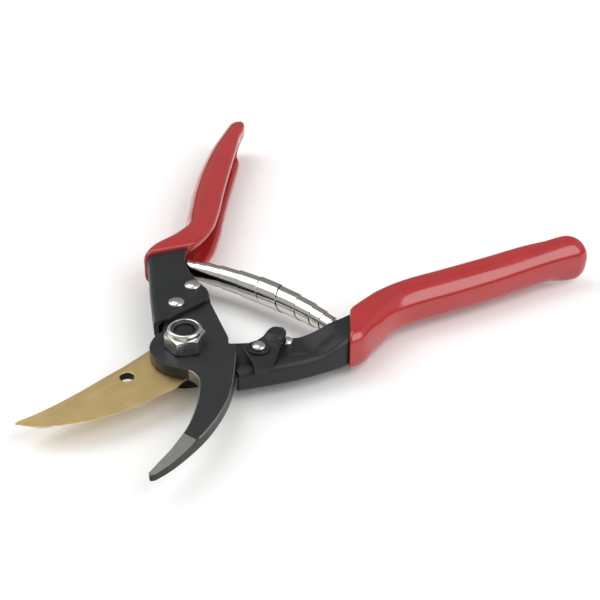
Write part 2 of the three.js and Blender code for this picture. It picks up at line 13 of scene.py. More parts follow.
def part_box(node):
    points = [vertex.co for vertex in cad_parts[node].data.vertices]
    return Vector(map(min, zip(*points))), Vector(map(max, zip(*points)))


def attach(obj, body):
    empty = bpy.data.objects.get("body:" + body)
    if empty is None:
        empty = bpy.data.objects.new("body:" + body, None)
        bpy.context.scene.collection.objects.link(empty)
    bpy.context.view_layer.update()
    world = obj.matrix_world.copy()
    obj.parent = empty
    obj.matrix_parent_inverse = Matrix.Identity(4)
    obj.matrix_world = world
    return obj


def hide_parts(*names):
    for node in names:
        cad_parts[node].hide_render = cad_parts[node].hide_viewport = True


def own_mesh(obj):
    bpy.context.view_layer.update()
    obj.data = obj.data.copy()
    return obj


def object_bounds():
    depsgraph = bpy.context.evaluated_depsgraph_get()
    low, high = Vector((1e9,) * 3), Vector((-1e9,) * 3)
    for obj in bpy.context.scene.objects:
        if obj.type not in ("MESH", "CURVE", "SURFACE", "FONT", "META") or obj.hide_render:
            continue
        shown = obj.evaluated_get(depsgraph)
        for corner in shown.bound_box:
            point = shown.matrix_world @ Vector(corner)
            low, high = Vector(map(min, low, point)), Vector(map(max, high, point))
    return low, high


bl_info = {
    "name": "Pruning Shears",
    "version": (1, 0, 0),
    "blender": (4, 5, 0),
    "location": "View3D > Sidebar > Shears",
    "description": "Builds bypass pruning shears piece by piece on their moving frame",
    "category": "Add Mesh",
}

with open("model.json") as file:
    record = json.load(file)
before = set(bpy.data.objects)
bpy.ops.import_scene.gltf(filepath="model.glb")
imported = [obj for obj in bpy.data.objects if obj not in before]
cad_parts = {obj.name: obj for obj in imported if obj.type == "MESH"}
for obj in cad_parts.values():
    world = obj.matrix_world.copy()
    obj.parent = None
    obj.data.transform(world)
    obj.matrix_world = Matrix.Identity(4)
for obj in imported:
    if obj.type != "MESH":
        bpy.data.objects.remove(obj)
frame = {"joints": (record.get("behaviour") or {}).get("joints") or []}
CAD_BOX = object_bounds()
JOINTS = {joint["name"]: joint for joint in frame["joints"]}

MM = 0.001
# Each half is drawn closed and stands open by half of the jaws' travel.
HALF_OPENING = math.radians(JOINTS["jaw_pivot"]["range_deg"][1]) / 2
TURN = {"hook_half": HALF_OPENING, "blade_half": -HALF_OPENING, "latch": -HALF_OPENING}


# ------------------------------------------------------------------------------------------------
# Heights, read from the frame and used in millimetres
# ------------------------------------------------------------------------------------------------

def low_of(node):
    """Height of a node's underside in millimetres."""
    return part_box(node)[0].z / MM


def top_of(node):
    """Height of a node's top in millimetres."""
    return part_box(node)[1].z / MM


BLADE_Z = (low_of("cutting_blade"), top_of("cutting_blade"))
HOOK_Z = (low_of("hook_blade"), top_of("hook_blade"))
NUT_Z = (low_of("lock_nut"), top_of("lock_nut"))
GRIP_Z = (low_of("hook_handle_grip"), top_of("hook_handle_grip"))
BOLT_Z = (low_of("pivot_bolt"), top_of("pivot_bolt"))
LATCH_Z = low_of("latch_lever")
MID_Z = (GRIP_Z[0] + GRIP_Z[1]) / 2


# ------------------------------------------------------------------------------------------------
# Sizes and colours that a user would change
# ------------------------------------------------------------------------------------------------

def from_hex(code):
    """An sRGB hex colour as linear red, green, blue and alpha."""
    parts = [int(code[i:i + 2], 16) / 255 for i in (1, 3, 5)]
    return (*[p / 12.92 if p <= 0.04045 else ((p + 0.055) / 1.055) ** 2.4 for p in parts], 1.0)


def size_prop(name, description, default_mm):
    return bpy.props.FloatProperty(
        name=name, description=description, default=default_mm * MM, unit="LENGTH", precision=5)


def colour_prop(name, description, code):
    return bpy.props.FloatVectorProperty(
        name=name, description=description, default=from_hex(code), size=4, subtype="COLOR")


class ShearsSizes(bpy.types.PropertyGroup):
    """Sizes of the stock and of the worked edges."""
    sheet: size_prop("Channel sheet", "Thickness of the handles' steel", 1.8)
    bend: size_prop("Channel bend", "Outside radius of the handles' bends", 2.4)
    coat_outside: size_prop("Coat outside", "Vinyl over the outside of the steel", 1.4)
    coat_inside: size_prop("Coat inside", "Vinyl inside the channel", 0.7)
    grip_round: size_prop("Grip rounding", "Radius of the long edges along a grip's back", 6.6)
    crown: size_prop("Grip crown", "Rise of a grip's flat sides in the middle", 0.25)
    bevel: size_prop("Blade bevel", "Width of the grinding under the blade", 5.0)
    land: size_prop("Blade land", "Height left standing above the bevel", 0.3)
    hook_tip: size_prop("Hook tip", "Thickness of the hook where its facet runs out", 3.0)
    edge_round: size_prop("Edge rounding", "Radius on the edges of the blanked plates", 0.45)
    strip: size_prop("Spring strip", "Thickness of the spring's strip", 0.3)
    band: size_prop("Spring band", "Width of the spring's strip", 9.0)


class ShearsColours(bpy.types.PropertyGroup):
    """Colours of the finishes."""
    paint: colour_prop("Black paint", "Baked satin paint on the handles", "#1D1F20")
    hook_paint: colour_prop("Hook paint", "Baked satin paint on the counter blade", "#252627")
    vinyl: colour_prop("Dipped vinyl", "Glossy red coat of the grips", "#AA2728")
    gold: colour_prop("Gold coating", "Titanium nitride on the blade", "#DEC389")
    ground: colour_prop("Ground steel", "Bare ground faces of the hook", "#8F8F89")
    scale: colour_prop("Dark steel", "Sides of the hook, left dark from hardening", "#4A4A49")
    zinc: colour_prop("Zinc plate", "Nut and rivets", "#CFCFCA")
    nickel: colour_prop("Nickel plate", "Volute spring", "#D6D3CC")
    oxide: colour_prop("Black oxide", "Bolt and washers", "#17171A")
    # This black also paints shade onto the wall of the blade's hole.
    nylon: colour_prop("Nylon", "Insert of the lock nut", "#2C3034")
    floor: colour_prop("Floor", "Plain floor under the shears", "#FCFCFB")


# ------------------------------------------------------------------------------------------------
# Lines and meshes. Drawing is in millimetres, in the closed position; place() turns it into the
# frame's metres.
# ------------------------------------------------------------------------------------------------

def curve_through(points, per=8):
    """A smooth line through the points, with per steps between each two."""
    points = [Vector(p) for p in points]
    made = [points[0]]
    for i in range(len(points) - 1):
        p0, p1 = points[max(i - 1, 0)], points[i]
        p2, p3 = points[i + 1], points[min(i + 2, len(points) - 1)]
        for step in range(1, per + 1):
            t = step / per
            v0, v1 = (p2 - p0) / 2, (p3 - p1) / 2
            made.append((2 * p1 - 2 * p2 + v0 + v1) * t ** 3
                        + (-3 * p1 + 3 * p2 - 2 * v0 - v1) * t ** 2 + v0 * t + p1)
    return made


def outline(start, *stretches, per=8):
    """A closed plan line from stretches of ("line", points...) and ("curve", points...)."""
    made = [Vector(start)]
    for kind, *points in stretches:
        if kind == "curve":
            made += curve_through([made[-1], *points], per)[1:]
        else:
            made += [Vector(p) for p in points]
    if (made[0] - made[-1]).length < 1e-6:
        made.pop()
    area = sum(a.x * b.y - b.x * a.y for a, b in zip(made, made[1:] + made[:1]))
    return made if area > 0 else made[::-1]


def along(points):
    """The x of a smooth line at a given y, for a line whose y falls from point to point."""
    line = curve_through(points)

    def at(y):
        for a, b in zip(line, line[1:]):
            if b.y <= y:
                return a.x + (b.x - a.x) * (y - a.y) / (b.y - a.y)
        a, b = line[-2:]
        return a.x + (b.x - a.x) * (y - a.y) / (b.y - a.y)
    return at


def smooth(t):
    t = max(0.0, min(1.0, t))
    return t * t * (3 - 2 * t)


def mix(a, b, t):
    return a + (b - a) * t


def spread(low, high, count):
    return [mix(low, high, i / (count - 1)) for i in range(count)]


def make_object(name, vertices, faces, materials, indices=None, angle=32):
    """A mesh object with smooth faces and edges that stay sharp above the angle."""
    mesh = bpy.data.meshes.new(name)
    mesh.from_pydata([tuple(v) for v in vertices], [], faces)
    for material in materials:
        mesh.materials.append(material)
    if indices:
        mesh.polygons.foreach_set("material_index", indices)
    tidy_mesh(mesh, angle)
    made = bpy.data.objects.new(name, mesh)
    bpy.context.scene.collection.objects.link(made)
    return made


def tidy_mesh(mesh, angle=32):
    """Welds doubled points, turns the faces outwards and sets the shading."""
    work = bmesh.new()
    work.from_mesh(mesh)
    bmesh.ops.remove_doubles(work, verts=work.verts, dist=1e-4 if mesh_is_mm(work) else 1e-7)
    bmesh.ops.dissolve_degenerate(work, edges=work.edges, dist=1e-5 if mesh_is_mm(work) else 1e-8)
    bmesh.ops.recalc_face_normals(work, faces=work.faces)
    work.to_mesh(mesh)
    work.free()
    mesh.polygons.foreach_set("use_smooth", [True] * len(mesh.polygons))
    mesh.set_sharp_from_angle(angle=math.radians(angle))
    mesh.update()


def keep_flats_flat(made):
    """Large faces keep their own direction, and only the rounded edges between them blend."""
    weighted = made.modifiers.new("flat faces", "WEIGHTED_NORMAL")
    weighted.keep_sharp = True
    weighted.weight = 90
    return made


def mesh_is_mm(work):
    return max(v.co.length for v in work.verts) > 1


def place(made, body, slot, *nodes, turn=None):
    """Brings a drawing into the frame, lets it ride on its body and stand for its nodes."""
    turn = TURN[body] if turn is None else turn
    made.data.transform(Matrix.Rotation(turn, 4, "Z") @ Matrix.Scale(MM, 4))
    made.data.update()
    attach(made, body)
    if nodes:
        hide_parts(*nodes)
    return made


def apply_modifiers(made):
    """Bakes the modifiers into the mesh."""
    graph = bpy.context.evaluated_depsgraph_get()
    mesh = bpy.data.meshes.new_from_object(made.evaluated_get(graph))
    made.modifiers.clear()
    made.data = mesh
    return made


def offset_line(line, amount):
    """The closed line moved inwards, by one amount or by one for each point."""
    count = len(line)
    moved = []
    for i, point in enumerate(line):
        before = (point - line[i - 1]).normalized()
        after = (line[(i + 1) % count] - point).normalized()
        across = before + after
        if across.length < 1e-6:
            across = after
        across.normalize()
        inward = Vector((-across.y, across.x))
        reach = 1 / max(0.5, inward.dot(Vector((-before.y, before.x))))
        shift = amount[i] if isinstance(amount, list) else amount
        moved.append(point + inward * shift * reach)
    return moved


def plate(name, line, holes, low, high, rounding, materials, side=None, top=0, bottom=0, ground=None):
    """A blanked plate with rounded edges. side(point, level) gives a wall's material, level 0 to 1
    from the top down. ground gives each point's (share, width, land) where an edge is ground."""
    steps = 4
    profile = []
    for i in range(steps + 1):
        a = math.pi / 2 * i / steps
        profile.append((rounding * (1 - math.sin(a)), high - rounding * (1 - math.cos(a))))
    for i in range(steps + 1):
        a = math.pi / 2 * i / steps
        profile.append((rounding * (1 - math.cos(a)), low + rounding * (1 - math.sin(a))))
    loops = [line] + [[Vector((x + r * math.cos(t), y + r * math.sin(t)))
                       for t in (-2 * math.pi * k / 40 for k in range(40))] for x, y, r in holes]
    vertices, faces, indices, caps = [], [], [], {0: [], len(profile) - 1: []}
    for number, loop in enumerate(loops):
        first = len(vertices)
        count = len(loop)
        for k, (inset, z) in enumerate(profile):
            heights = [z] * count
            insets = [inset] * count
            if ground and number == 0:
                for i, (share, width, land) in enumerate(ground):
                    below = k > steps
                    fall = (k - steps - 1) / steps if below else 0
                    heights[i] = mix(z, mix(high - land, low, fall) if below else
                                     mix(high, high - land, k / steps), share)
                    insets[i] = mix(inset, width * fall, share)
            ring = offset_line(loop, insets)
            vertices += [(p.x, p.y, h) for p, h in zip(ring, heights)]
            if k in caps:
                caps[k].append((first + k * count, ring))
        for k in range(len(profile) - 1):
            for i in range(count):
                a, b = first + k * count + i, first + k * count + (i + 1) % count
                faces.append((a, a + count, b + count, b))
                indices.append(side(loop[i], k / (len(profile) - 2)) if side else 0)
    for k, rings in caps.items():
        where = [base + i for base, ring in rings for i in range(len(ring))]
        for tri in tessellate_polygon([[(p.x, p.y, 0) for p in ring] for _, ring in rings]):
            faces.append(tuple(where[i] for i in tri))
            indices.append(top if k == 0 else bottom)
    return keep_flats_flat(make_object(name, vertices, faces, materials, indices))


def channel_path(width, low, high, wall, bend, lip, crown=0.0, hollow=1.0):
    """Outer and inner lines of a C section, from the lower lip round the web to the upper lip.
    Points are (distance from the back, height)."""
    half = (high - low) / 2
    middle = (high + low) / 2
    wall = min(wall, half * 0.9)
    bend = min(bend, half * 0.95, width * 0.95)
    lip = min(lip, wall / 2)

    def quarter(inset, radius, radius_lip, edge_z):
        points = [(width, half - wall / 2)]
        for i in range(4):
            a = math.pi / 2 * i / 3
            points.append((width - radius_lip * (1 - math.cos(a)),
                           edge_z + (-1 if inset else 1) * radius_lip * (math.sin(a) - 1)))
        start = width - radius_lip
        stop = inset + radius
        points += [(mix(start, stop, i / 9), edge_z) for i in range(1, 9)]
        for i in range(7):
            a = math.pi / 2 * i / 6
            points.append((inset + radius * (1 - math.sin(a)), edge_z - radius * (1 - math.cos(a))))
        return points + [(inset, mix(edge_z - radius, 0, i / 3)) for i in range(1, 3)]

    outer = quarter(0, bend, lip, half)
    inner = quarter(wall, max(bend - wall, 0.15), lip, half - wall)
    outer = [(u, z + crown * (1 - ((u - width / 2) / (width / 2)) ** 2)
              * smooth((z - half + bend + 0.01) / bend)) for u, z in outer]
    inner = [(width - (width - u) * hollow, z) for u, z in inner]
    lines = []
    for quarter_line in (outer, inner):
        web = (quarter_line[-1][0], 0)
        lower = [(u, middle - z) for u, z in quarter_line]
        upper = [(u, middle + z) for u, z in quarter_line]
        lines.append([*lower, (web[0], middle), *upper[::-1]])
    return lines


def drawn_back(line, y, most):
    """The lower flange gives out towards the end, so there the section slants back to the web."""
    share = most * smooth((-y - 145) / 11)
    return [(u * (1 - share * smooth((MID_Z + 3 - z) / 8)), z) for u, z in line]


def sweep_channel(name, sections, materials, sag=None, mirror=False, cap_material=0):
    """A channel through sections (back point, edge point, outer line, inner line)."""
    vertices, faces, indices = [], [], []
    count = len(sections[0][2])
    side = -1 if mirror else 1
    for back, edge, outer, inner in sections:
        back, edge = Vector(back), Vector(edge)
        across = (edge - back).normalized()
        for line in (outer, inner):
            for i, (u, z) in enumerate(line):
                p = back + across * u
                if sag and i > count // 2:
                    z -= sag(p)
                vertices.append((side * p.x, p.y, z))
    ring = list(range(count)) + [count + i for i in range(count - 2, 0, -1)]
    for s in range(len(sections) - 1):
        base, after = s * 2 * count, (s + 1) * 2 * count
        for a, b in zip(ring, ring[1:] + ring[:1]):
            faces.append((base + a, base + b, after + b, after + a))
            indices.append(0)
    for base in (0, (len(sections) - 1) * 2 * count):
        for i in range(count - 1):
            faces.append((base + i, base + i + 1, base + count + i + 1, base + count + i))
            indices.append(cap_material)
    return keep_flats_flat(make_object(name, vertices, faces, materials, indices))


def turned(name, profile, materials, segments=64, radius_at=None, centre=(0, 0), closed=False):
    """A turned piece from (radius, height) points. radius_at(radius, height, angle) can shape it."""
    vertices, faces = [], []
    count = len(profile)
    for s in range(segments):
        a = 2 * math.pi * s / segments
        for r, z in profile:
            if radius_at:
                r, z = radius_at(r, z, a)
            vertices.append((centre[0] + r * math.cos(a), centre[1] + r * math.sin(a), z))
    for s in range(segments):
        base, after = s * count, ((s + 1) % segments) * count
        for i in range(count if closed else count - 1):
            j = (i + 1) % count
            faces.append((base + i, after + i, after + j, base + j))
    return make_object(name, vertices, faces, materials)


# ------------------------------------------------------------------------------------------------
# Materials
# ------------------------------------------------------------------------------------------------

def add_node(tree, kind, inputs=None, **settings):
    """Adds a node with its settings, its values and its links."""
    made = tree.nodes.new(kind)
    for key, value in settings.items():
        setattr(made, key, value)
    for key, value in (inputs or {}).items():
        if isinstance(value, bpy.types.NodeSocket):
            tree.links.new(value, made.inputs[key])
        else:
            made.inputs[key].default_value = value
    return made


def new_material(name):
    """A node material and its empty tree, or no tree where the material is made already."""
    material = bpy.data.materials.get(name)
    if material:
        return material, None
    material = bpy.data.materials.new(name)
    material.use_nodes = True
    material.node_tree.nodes.clear()
    return material, material.node_tree


def close_material(tree, shader):
    add_node(tree, "ShaderNodeOutputMaterial", {"Surface": shader.outputs[0]})


def shade_of(colour, factor):
    return (*[min(1.0, c * factor) for c in colour[:3]], 1.0)


def satin_paint(name, colour, worn=0.0):
    """Baked satin enamel over stamped steel: a soft sheen with a fine orange peel. Where it is
    worn, bright steel shows through in small chips."""
    material, tree = new_material(name)
    if tree is None:
        return material
    where = add_node(tree, "ShaderNodeTexCoord").outputs["Object"]
    # Orange peel is about 0.6 mm from hump to hump.
    peel = add_node(tree, "ShaderNodeTexNoise", {"Vector": where, "Scale": 1 / 0.0006, "Detail": 2.0})
    # Dust and handling leave patches some 6 mm wide, a little duller than the rest.
    cloud = add_node(tree, "ShaderNodeTexNoise", {"Vector": where, "Scale": 1 / 0.006, "Detail": 4.0})
    sheen = add_node(tree, "ShaderNodeMapRange", {
        "Value": cloud.outputs[0], "From Min": 0.3, "From Max": 0.7, "To Min": 0.36, "To Max": 0.46})
    tint = add_node(tree, "ShaderNodeMix", {
        "Factor": cloud.outputs[0], 6: shade_of(colour, 0.85), 7: shade_of(colour, 1.2)}, data_type="RGBA")
    bump = add_node(tree, "ShaderNodeBump", {
        "Height": peel.outputs[0], "Strength": 0.25, "Distance": 0.00004})
    paint = add_node(tree, "ShaderNodeBsdfPrincipled", {
        "Base Color": tint.outputs[2], "Roughness": sheen.outputs[0], "Normal": bump.outputs[0],
        "IOR": 1.5, "Specular IOR Level": 0.35})
    if not worn:
        close_material(tree, paint)
        return material
    # Chips along rubbed edges are 0.5 to 2 mm long.
    chips = add_node(tree, "ShaderNodeTexNoise", {"Vector": where, "Scale": 1 / 0.0016, "Detail": 5.0})
    mask = add_node(tree, "ShaderNodeMapRange", {
        "Value": chips.outputs[0], "From Min": 0.66 - worn * 0.3, "From Max": 0.70 - worn * 0.3})
    steel = add_node(tree, "ShaderNodeBsdfPrincipled", {
        "Base Color": from_hex("#B9BAB5"), "Metallic": 1.0, "Roughness": 0.34})
    both = add_node(tree, "ShaderNodeMixShader", {
        0: mask.outputs[0], 1: paint.outputs[0], 2: steel.outputs[0]})
    close_material(tree, both)
    return material


def brushed_metal(name, colour, roughness, angle=0.0, line_mm=0.25, length_mm=14.0, depth=0.25):
    """Ground or brushed metal: fine parallel scratches that stretch the highlights across them."""
    material, tree = new_material(name)
    if tree is None:
        return material
    where = add_node(tree, "ShaderNodeTexCoord").outputs["Object"]
    turned_to = add_node(tree, "ShaderNodeMapping", {
        "Vector": where, "Rotation": (0.0, 0.0, -angle)})
    stretched = add_node(tree, "ShaderNodeMapping", {
        "Vector": turned_to.outputs[0],
        "Scale": (1000 / length_mm, 1000 / line_mm, 1000 / line_mm)})
    lines = add_node(tree, "ShaderNodeTexNoise", {
        "Vector": stretched.outputs[0], "Scale": 1.0, "Detail": 4.0})
    # Slow clouds of tone are about 9 mm wide.
    cloud = add_node(tree, "ShaderNodeTexNoise", {"Vector": where, "Scale": 1000 / 9.0, "Detail": 3.0})
    both = add_node(tree, "ShaderNodeMath", {0: lines.outputs[0], 1: cloud.outputs[0]}, operation="ADD")
    tint = add_node(tree, "ShaderNodeMapRange", {
        "Value": both.outputs[0], "From Min": 0.6, "From Max": 1.4, "To Min": 0.0, "To Max": 1.0})
    mixed = add_node(tree, "ShaderNodeMix", {
        "Factor": tint.outputs[0], 6: shade_of(colour, 0.82), 7: shade_of(colour, 1.1)}, data_type="RGBA")
    rough = add_node(tree, "ShaderNodeMapRange", {
        "Value": lines.outputs[0], "From Min": 0.3, "From Max": 0.7,
        "To Min": roughness * 0.85, "To Max": roughness * 1.2})
    bump = add_node(tree, "ShaderNodeBump", {
        "Height": lines.outputs[0], "Strength": depth, "Distance": 0.00003})
    metal = add_node(tree, "ShaderNodeBsdfPrincipled", {
        "Base Color": mixed.outputs[2], "Metallic": 1.0, "Roughness": rough.outputs[0],
        "Normal": bump.outputs[0]})
    close_material(tree, metal)
    return material


def plated_metal(name, colour, roughness, grain_mm=0.9, depth=0.12):
    """Electroplated steel: bright, with faint waves left by the metal below the plating."""
    material, tree = new_material(name)
    if tree is None:
        return material
    where = add_node(tree, "ShaderNodeTexCoord").outputs["Object"]
    waves = add_node(tree, "ShaderNodeTexNoise", {"Vector": where, "Scale": 1000 / grain_mm, "Detail": 3.0})
    rough = add_node(tree, "ShaderNodeMapRange", {
        "Value": waves.outputs[0], "From Min": 0.3, "From Max": 0.7,
        "To Min": roughness * 0.7, "To Max": roughness * 1.3})
    tint = add_node(tree, "ShaderNodeMix", {
        "Factor": waves.outputs[0], 6: shade_of(colour, 0.9), 7: shade_of(colour, 1.05)}, data_type="RGBA")
    bump = add_node(tree, "ShaderNodeBump", {
        "Height": waves.outputs[0], "Strength": depth, "Distance": 0.00004})
    metal = add_node(tree, "ShaderNodeBsdfPrincipled", {
        "Base Color": tint.outputs[2], "Metallic": 1.0, "Roughness": rough.outputs[0],
        "Normal": bump.outputs[0]})
    close_material(tree, metal)
    return material


def bright_zinc():
    """The plate of the nut, the rivets and the pegs, with waves of about 1.8 mm."""
    colours = bpy.context.scene.shears_colours
    return plated_metal("bright_zinc_plate", colours.zinc, 0.22, grain_mm=1.8, depth=0.05)


def dipped_vinyl(name, colour):
    """Plastisol vinyl, dipped and cured: glossy, soft to the light, with slow waves where it ran."""
    material, tree = new_material(name)
    if tree is None:
        return material
    where = add_node(tree, "ShaderNodeTexCoord").outputs["Object"]
    # The coat flows into waves about 14 mm long, with a fine skin of about 1 mm on top.
    flow = add_node(tree, "ShaderNodeTexNoise", {"Vector": where, "Scale": 1 / 0.014, "Detail": 4.0})
    skin = add_node(tree, "ShaderNodeTexNoise", {"Vector": where, "Scale": 1 / 0.001, "Detail": 3.0})
    fine = add_node(tree, "ShaderNodeBump", {
        "Height": skin.outputs[0], "Strength": 0.08, "Distance": 0.00004})
    rough = add_node(tree, "ShaderNodeMapRange", {
        "Value": flow.outputs[0], "From Min": 0.3, "From Max": 0.7, "To Min": 0.15, "To Max": 0.22})
    tint = add_node(tree, "ShaderNodeMix", {
        "Factor": flow.outputs[0], 6: shade_of(colour, 0.86), 7: shade_of(colour, 1.12)}, data_type="RGBA")
    vinyl = add_node(tree, "ShaderNodeBsdfPrincipled", {
        "Base Color": tint.outputs[2], "Roughness": rough.outputs[0], "Normal": fine.outputs[0],
        "IOR": 1.53, "Coat Weight": 0.4, "Coat Roughness": 0.06,
        "Subsurface Weight": 0.06, "Subsurface Radius": (0.004, 0.0008, 0.0006), "Subsurface Scale": 0.5})
    close_material(tree, vinyl)
    return material


def moulded_nylon(name, colour):
    """Moulded nylon: dull, with a faint mottle."""
    material, tree = new_material(name)
    if tree is None:
        return material
    where = add_node(tree, "ShaderNodeTexCoord").outputs["Object"]
    mottle = add_node(tree, "ShaderNodeTexNoise", {"Vector": where, "Scale": 1 / 0.0007, "Detail": 2.0})
    tint = add_node(tree, "ShaderNodeMix", {
        "Factor": mottle.outputs[0], 6: shade_of(colour, 0.8), 7: shade_of(colour, 1.3)}, data_type="RGBA")
    nylon = add_node(tree, "ShaderNodeBsdfPrincipled", {
        "Base Color": tint.outputs[2], "Roughness": 0.45, "IOR": 1.53})
    close_material(tree, nylon)
    return material


def plain_floor(name, colour):
    """Matt seamless paper, with a tone that wanders very slightly over a hand's width."""
    material, tree = new_material(name)
    if tree is None:
        return material
    where = add_node(tree, "ShaderNodeTexCoord").outputs["Object"]
    tone = add_node(tree, "ShaderNodeTexNoise", {"Vector": where, "Scale": 1 / 0.1, "Detail": 1.0})
    tint = add_node(tree, "ShaderNodeMix", {
        "Factor": tone.outputs[0], 6: shade_of(colour, 0.985), 7: shade_of(colour, 1.0)}, data_type="RGBA")
    paper = add_node(tree, "ShaderNodeBsdfPrincipled", {
        "Base Color": tint.outputs[2], "Roughness": 0.9, "Specular IOR Level": 0.1})
    close_material(tree, paper)
    return material


# ------------------------------------------------------------------------------------------------
# Shared drawing of the handles, on the hook's side; the blade's handle is mirrored
# ------------------------------------------------------------------------------------------------

HOOK_LOWER_BACK = [(28, -51), (27.5, -57), (22.2, -67), (18.8, -77), (19.6, -88), (21.3, -104),
                   (22.1, -121), (21.6, -138), (20.2, -150), (18.8, -160)]
HOOK_LOWER_EDGE = [(13.8, -59), (10.4, -67), (8.8, -76), (9, -88), (10.4, -104), (11.6, -122),
                   (12.6, -140), (13.8, -156)]
BLADE_LOWER_BACK = [(28.6, -51), (28.3, -57), (23.8, -67), (19.2, -77), (18.2, -87), (19.5, -104),
                    (20.4, -121), (20.5, -138), (20.8, -150), (21.8, -160)]
BLADE_LOWER_EDGE = [(15.2, -59), (12.2, -67), (9.4, -76), (8.4, -88), (9.6, -104), (10.8, -122),
                    (11.7, -140), (14.2, -156)]
HOOK_BACK = [(14.3, -9.9), (17.9, -20), (21.9, -32), (25.8, -44.5), *HOOK_LOWER_BACK]
BLADE_BACK = [(22.8, -7.9), (25.2, -17), (27.7, -27.5), (29, -38), (29.2, -45), *BLADE_LOWER_BACK]
HOOK_EDGE = [(13.2, -9.9), (11.2, -11.2), (8.9, -13.2), (6, -17.8), (1.8, -23), (-1.1, -27.6),
             (-1.3, -30.2), (0.4, -33.4), (3.6, -37.2), (7.5, -41.4), (10.6, -46), (13.2, -51),
             *HOOK_LOWER_EDGE]
BLADE_EDGE = [(21.6, -9.2), (16.5, -12.9), (10.8, -16.6), (9.4, -19), (6.9, -25.4), (6.2, -28.6),
              (8.4, -31.9), (10.9, -35.6), (13.6, -41.6), (15.9, -49), *BLADE_LOWER_EDGE]
# Each grip's centre moves this much, in millimetres, on its way into the round nose.
NOSE = {"hook_half": 0.3, "blade_half": 1.2}
DISH_EDGE = [(18.6, 0), (19.4, -12), (21.2, -22), (23, -33), (23.6, -41), (22.6, -52)]
LEAN = {"hook_half": 0.02, "blade_half": 0.0}  # how far each lower handle leans out
HANDLE_END = -158.0
GRIP_END = -164.0

HOOK_RIVETS = [(9, -22.4), (6, -34.5)]
BLADE_RIVET = (-13.1, -33.9)
LATCH_AT = (-16.8, -20.6)
BOLT_HOLE = (0, 0, 4.15)  # x, y and radius, as for the next
BLADE_HOLE = (-0.7, 23.5, 2.6)
TANG_FROM = -6.5  # the blade is coated in front of this y and painted behind it


def leaned(points, lean):
    """The lower handle's line, leaned outwards from the shoulder down."""
    return [(x + lean * max(0, -57 - y), y) for x, y in points]


def widened(y):
    """0 at the tang and 1 inside the grip."""
    return smooth((-y - 38) / 14)


def sizes_mm():
    sizes = bpy.context.scene.shears_sizes
    return {key: getattr(sizes, key) / MM for key in sizes.bl_rna.properties.keys()
            if isinstance(getattr(sizes, key), float)}


# ------------------------------------------------------------------------------------------------
# Operators
# ------------------------------------------------------------------------------------------------

class SHEARS_OT_stage(bpy.types.Operator):
    """Sets the camera, the floor and the soft lights"""
    bl_idname = "shears.stage"
    bl_label = "Camera, floor and lights"

    def execute(self, context):
        colours = context.scene.shears_colours
        scene = context.scene
        lens = bpy.data.cameras.new("camera")
        lens.sensor_width = 36
        lens.lens = 100.8
        lens.clip_start, lens.clip_end = 0.02, 30
        camera = bpy.data.objects.new("camera", lens)
        camera.location = (-0.3138, 0.3697, 0.3660)
        camera.rotation_mode = "QUATERNION"
        camera.rotation_quaternion = Vector((0.4786, -0.6709, -0.5664)).to_track_quat("-Z", "Y")
        scene.collection.objects.link(camera)
        scene.camera = camera

        floor_z = CAD_BOX[0].z - 0.0002
        ring = [(math.cos(2 * math.pi * i / 96) * 4, math.sin(2 * math.pi * i / 96) * 4, floor_z)
                for i in range(96)]
        floor = make_object("floor", ring, [tuple(range(96))], [plain_floor("matt_paper", colours.floor)])

        world = bpy.data.worlds.new("studio")
        world.use_nodes = True
        scene.world = world
        tree = world.node_tree
        tree.nodes.clear()
        # The room is brightest overhead. It is dark at the horizon, and dimmer beyond the shears.
        where = add_node(tree, "ShaderNodeTexCoord").outputs["Generated"]
        split = add_node(tree, "ShaderNodeSeparateXYZ", {"Vector": where})
        level = add_node(tree, "ShaderNodeMapRange", {
            "Value": split.outputs["Z"], "From Min": 0.03, "From Max": 0.3, "To Min": 0.05, "To Max": 0.55},
            interpolation_type="SMOOTHSTEP")
        beyond = add_node(tree, "ShaderNodeVectorMath", {
            0: where, 1: (0.4786, -0.6709, 0.5664)}, operation="DOT_PRODUCT")
        dim = add_node(tree, "ShaderNodeMapRange", {
            "Value": beyond.outputs["Value"], "From Min": 0.72, "From Max": 0.97,
            "To Min": 1.0, "To Max": 0.58},
            interpolation_type="SMOOTHSTEP")
        both = add_node(tree, "ShaderNodeMath", {
            0: level.outputs[0], 1: dim.outputs[0]}, operation="MULTIPLY")
        back = add_node(tree, "ShaderNodeBackground", {
            "Color": (1.0, 1.0, 1.0, 1.0), "Strength": both.outputs[0]})
        add_node(tree, "ShaderNodeOutputWorld", {"Surface": back.outputs[0]})

        def soft_box(name, location, target, size, power):
            light = bpy.data.lights.new(name, "AREA")
            light.shape = "RECTANGLE"
            light.size, light.size_y = size
            light.energy = power
            made = bpy.data.objects.new(name, light)
            made.location = location
            made.rotation_mode = "QUATERNION"
            made.rotation_quaternion = (Vector(target) - Vector(location)).to_track_quat("-Z", "Y")
            scene.collection.objects.link(made)

        soft_box("overhead", (0.45, 0.0, 1.1), (0, -0.03, 0), (1.0, 0.8), 4.5)
        soft_box("left", (0.9, 0.25, 0.7), (0, -0.03, 0), (0.7, 0.7), 2.5)
        # A long soft box to the right draws one broad streak along the rounded back of a grip.
        soft_box("right", (-0.95, -0.15, 0.82), (-0.03, -0.08, 0), (0.9, 1.2), 9.5)
        scene.view_settings.view_transform = "Standard"
        return {"FINISHED"}


